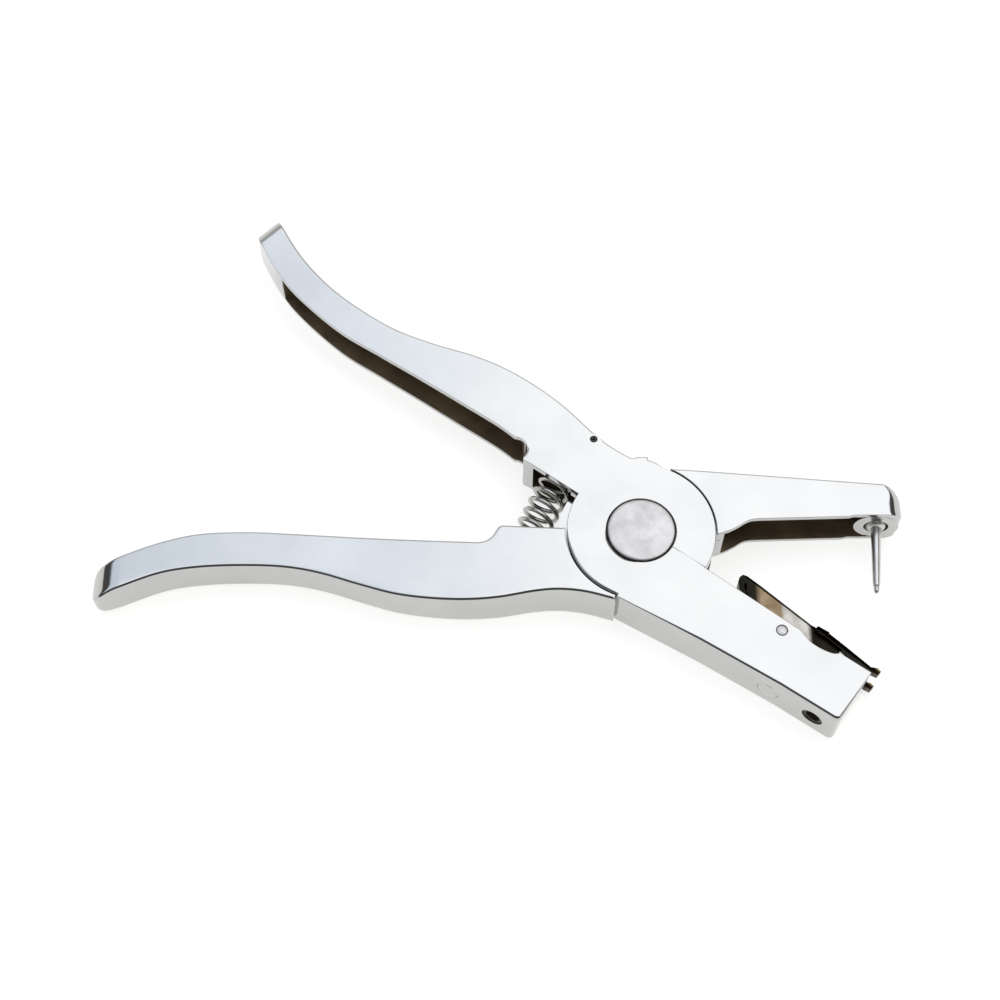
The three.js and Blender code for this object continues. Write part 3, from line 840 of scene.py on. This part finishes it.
def levers():
    clevis = clevis_shell()
    smooth(clevis, weigh=False)
    bore_x, bore_y = BORE_TOP[0] - BORE_BOTTOM[0], BORE_TOP[1] - BORE_BOTTOM[1]
    bore_turn = math.degrees(math.atan2(bore_y, bore_x)) - 90
    combine(clevis, lying_bar(BORE_R, -4, 24, BORE_BOTTOM, bore_turn), "DIFFERENCE")
    combine(clevis, lying_bar(SCREW_HOLE_R, -6, 1.5, SCREW_AT, SCREW_TURN), "DIFFERENCE")
    combine(clevis, seam_tool(), "DIFFERENCE")
    smooth(clevis)
    stand_in(clevis, "clevis", "chrome", "clevis_lever")
    tongue = tongue_shell()
    smooth(tongue, weigh=False)
    combine(tongue, lying_bar(BOSS_R, 0.02, BOSS_LENGTH, PIN_ROOT, PIN_LEAN), "UNION")
    # the recess is cut with the near-black dark finish on its walls: painted shade in the recess
    combine(tongue, lying_bar(ROOT_RECESS_R, -4, 3, PIN_ROOT, PIN_LEAN, "dark"), "DIFFERENCE")
    smooth(tongue)
    stand_in(tongue, "tongue", "chrome", "tongue_lever")


def small_pieces():
    head = turned("pivot_head", [
        (0, 14.8), (10.5, 14.8), (10.5, 17.0), (10.35, 17.3), (10.05, 17.45), (9.5, 17.5), (5, 17.5),
        (0, 17.5),
    ], "satin", sides=96)
    stand_in(head, "clevis", "satin", "pivot_rivet")
    pin = turned("tapered_pin", [
        (0, -PIN_LENGTH), (0.35, 0.12 - PIN_LENGTH), (0.62, 0.4 - PIN_LENGTH), (0.85, 1 - PIN_LENGTH),
        (0.9, 2.4 - PIN_LENGTH), (1.0, 2.55 - PIN_LENGTH), (1.15, 2.8 - PIN_LENGTH), (1.65, 0), (1.65, 3),
    ], "pin", lying(PIN_ROOT, PIN_LEAN), 32)
    stand_in(pin, "tongue", "pin", "applicator_pin")
    collar = turned("pin_dome", [
        (1.7, -0.9), (2.2, -0.82), (2.6, -0.6), (2.95, -0.2), (3.15, 0.3), (3.3, 1), (3.3, 2.7),
    ], "satin", lying(PIN_ROOT, PIN_LEAN), 40)
    stand_in(collar, "tongue", "satin", "pin_collar")
    screw = turned("domed_screw", [
        (0, -0.35), (2.0, -0.34), (2.8, -0.26), (3.2, -0.12), (3.45, 0.1), (3.55, 0.4), (3.55, 1.35),
        (0, 1.35),
    ], "chrome", lying(SCREW_AT, SCREW_TURN), 40)
    stand_in(screw, "clevis", "satin", "jaw_screw")
    rivet = turned("clip_rivet_head", [
        (0, 16.95), (1.4, 16.95), (1.56, 16.87), (1.62, 16.6), (1.62, 0.4), (1.45, 0.1), (0, 0.1),
    ], "satin", Matrix.Translation((*CLIP_PIVOT, 0)), 32)
    stand_in(rivet, "clevis", "satin", "clip_rivet")


# ---- stage ----
def make_stage():
    """A pale floor just under the tool, with some light of its own so that it stays nearly white."""
    mesh = bpy.data.meshes.new("floor")
    half, drop = 3.0, 0.0002
    corners = [(-half, -half, 0), (half, -half, 0), (half, half, 0), (-half, half, 0)]
    mesh.from_pydata(corners, [], [(0, 1, 2, 3)])
    floor = bpy.data.objects.new("floor", mesh)
    floor.location.z = -drop
    g = Graph("pale_floor", (0.95, 0.95, 0.94), 0, 0.9)
    g.drive("Base Color", g.ramp(g.noise(3, 2), [(0.3, (0.45, 0.447, 0.44)), (0.7, (0.47, 0.467, 0.46))]))
    g.shader.inputs["Emission Color"].default_value = (1, 1, 0.985, 1)
    g.shader.inputs["Emission Strength"].default_value = 0.74
    mesh.materials.append(g.mat)
    bpy.context.scene.collection.objects.link(floor)


def area_light(name, at, size, power):
    """A soft lamp that faces the tool and doesn't show in its reflections."""
    data = bpy.data.lights.new(name, "AREA")
    data.shape = "RECTANGLE"
    data.size, data.size_y = size
    data.energy = power
    lamp = bpy.data.objects.new(name, data)
    lamp.location = at
    lamp.rotation_euler = (Vector() - Vector(at)).to_track_quat("-Z", "Y").to_euler()
    lamp.visible_glossy = False
    bpy.context.scene.collection.objects.link(lamp)


def make_world():
    """The studio round the tool: a bright overhead that fades to blue-grey on the left, pale low walls, and
    between them a gap that is dark at the front and sides and grey at the back."""
    world = bpy.data.worlds.new("studio")
    world.use_nodes = True
    bpy.context.scene.world = world
    tree = world.node_tree
    background = tree.nodes["Background"]
    coord = tree.nodes.new("ShaderNodeTexCoord")
    split = tree.nodes.new("ShaderNodeSeparateXYZ")
    tree.links.new(coord.outputs["Generated"], split.inputs["Vector"])

    def ramp(axis, stops):
        """Colours along one axis of the direction, from -1 to 1."""
        node = tree.nodes.new("ShaderNodeValToRGB")
        while len(node.color_ramp.elements) < len(stops):
            node.color_ramp.elements.new(0.5)
        for element, (at, color) in zip(node.color_ramp.elements, stops):
            element.position = (at + 1) / 2
            element.color = (*color, 1)
        fit = tree.nodes.new("ShaderNodeMapRange")
        fit.inputs["From Min"].default_value = -1
        tree.links.new(split.outputs[axis], fit.inputs["Value"])
        tree.links.new(fit.outputs["Result"], node.inputs["Fac"])
        return node.outputs["Color"]

    overhead = ramp("X", [
        (-0.24, (1.0, 1.10, 1.26)), (-0.1, (1.37, 1.46, 1.60)), (0.02, (1.74, 1.77, 1.83)),
        (0.12, (1.80, 1.82, 1.87)), (0.25, (1.76, 1.78, 1.86)),
    ])
    front_end = ramp("Y", [(-0.2, (0.02, 0.02, 0.02)), (-0.1, (1, 1, 1))])
    lower_end = ramp("Z", [(0.67, (0.02, 0.02, 0.02)), (0.76, (1, 1, 1))])
    walls = ramp("Z", [(0.31, (1.05, 1.05, 1.03)), (0.38, (0, 0, 0))])
    gap = ramp("Y", [(0.52, (0.09, 0.09, 0.09)), (0.64, (0.6, 0.6, 0.6))])

    def blend(a, b, how):
        mix = tree.nodes.new("ShaderNodeMix")
        mix.data_type = "RGBA"
        mix.blend_type = how
        mix.inputs["Factor"].default_value = 1
        tree.links.new(a, mix.inputs["A"])
        tree.links.new(b, mix.inputs["B"])
        return mix.outputs["Result"]

    light = blend(blend(overhead, front_end, "MULTIPLY"), lower_end, "MULTIPLY")
    light = blend(blend(light, walls, "LIGHTEN"), gap, "LIGHTEN")
    tree.links.new(light, background.inputs["Color"])
    background.inputs["Strength"].default_value = 1.0


FINISH = {
    "chrome": chrome(), "satin": satin(), "wire": wire(), "pin": pin_steel(),
    "clip": clip_steel(), "dark": dark_steel(), "brass": brass(), "inside": cast_inside(),
}


# ---- CAD nodes that stay ----
def round_edges(node, width):
    """Welds a CAD node's triangles and rounds its edges with modifiers, so its mesh stays as it is."""
    weld = node.modifiers.new("weld", "WELD")
    weld.merge_threshold = WELD
    merge = node.modifiers.new("merge", "DECIMATE")
    merge.decimate_type = "DISSOLVE"
    merge.angle_limit = math.radians(1)
    bevel = node.modifiers.new("edges", "BEVEL")
    bevel.width = width
    bevel.segments = 2
    bevel.limit_method = "ANGLE"
    bevel.angle_limit = math.radians(35)
    bevel.use_clamp_overlap = True
    node.modifiers.new("even_normals", "WEIGHTED_NORMAL")


def dress_cad():
    """Gives every CAD node the finish of its material slot."""
    for row in frame["record"]["subparts"]:
        node = NODES[row["node"]]
        node.data.materials.clear()
        node.data.materials.append(FINISH[row["material_slot"]])
    round_edges(NODES["jaw_clip"], CLIP_EDGE)


make_camera()
make_stage()
make_world()
area_light("overhead_box", (0, -1.0, 2.2), (3, 3), 6)
area_light("front_box", (0, -2.2, 1.7), (3.4, 1.4), 8)
dress_cad()
levers()
small_pieces()
return_spring()
clip_spring()
bpy.context.scene.view_settings.view_transform = "Standard"

bpy.context.view_layer.update()
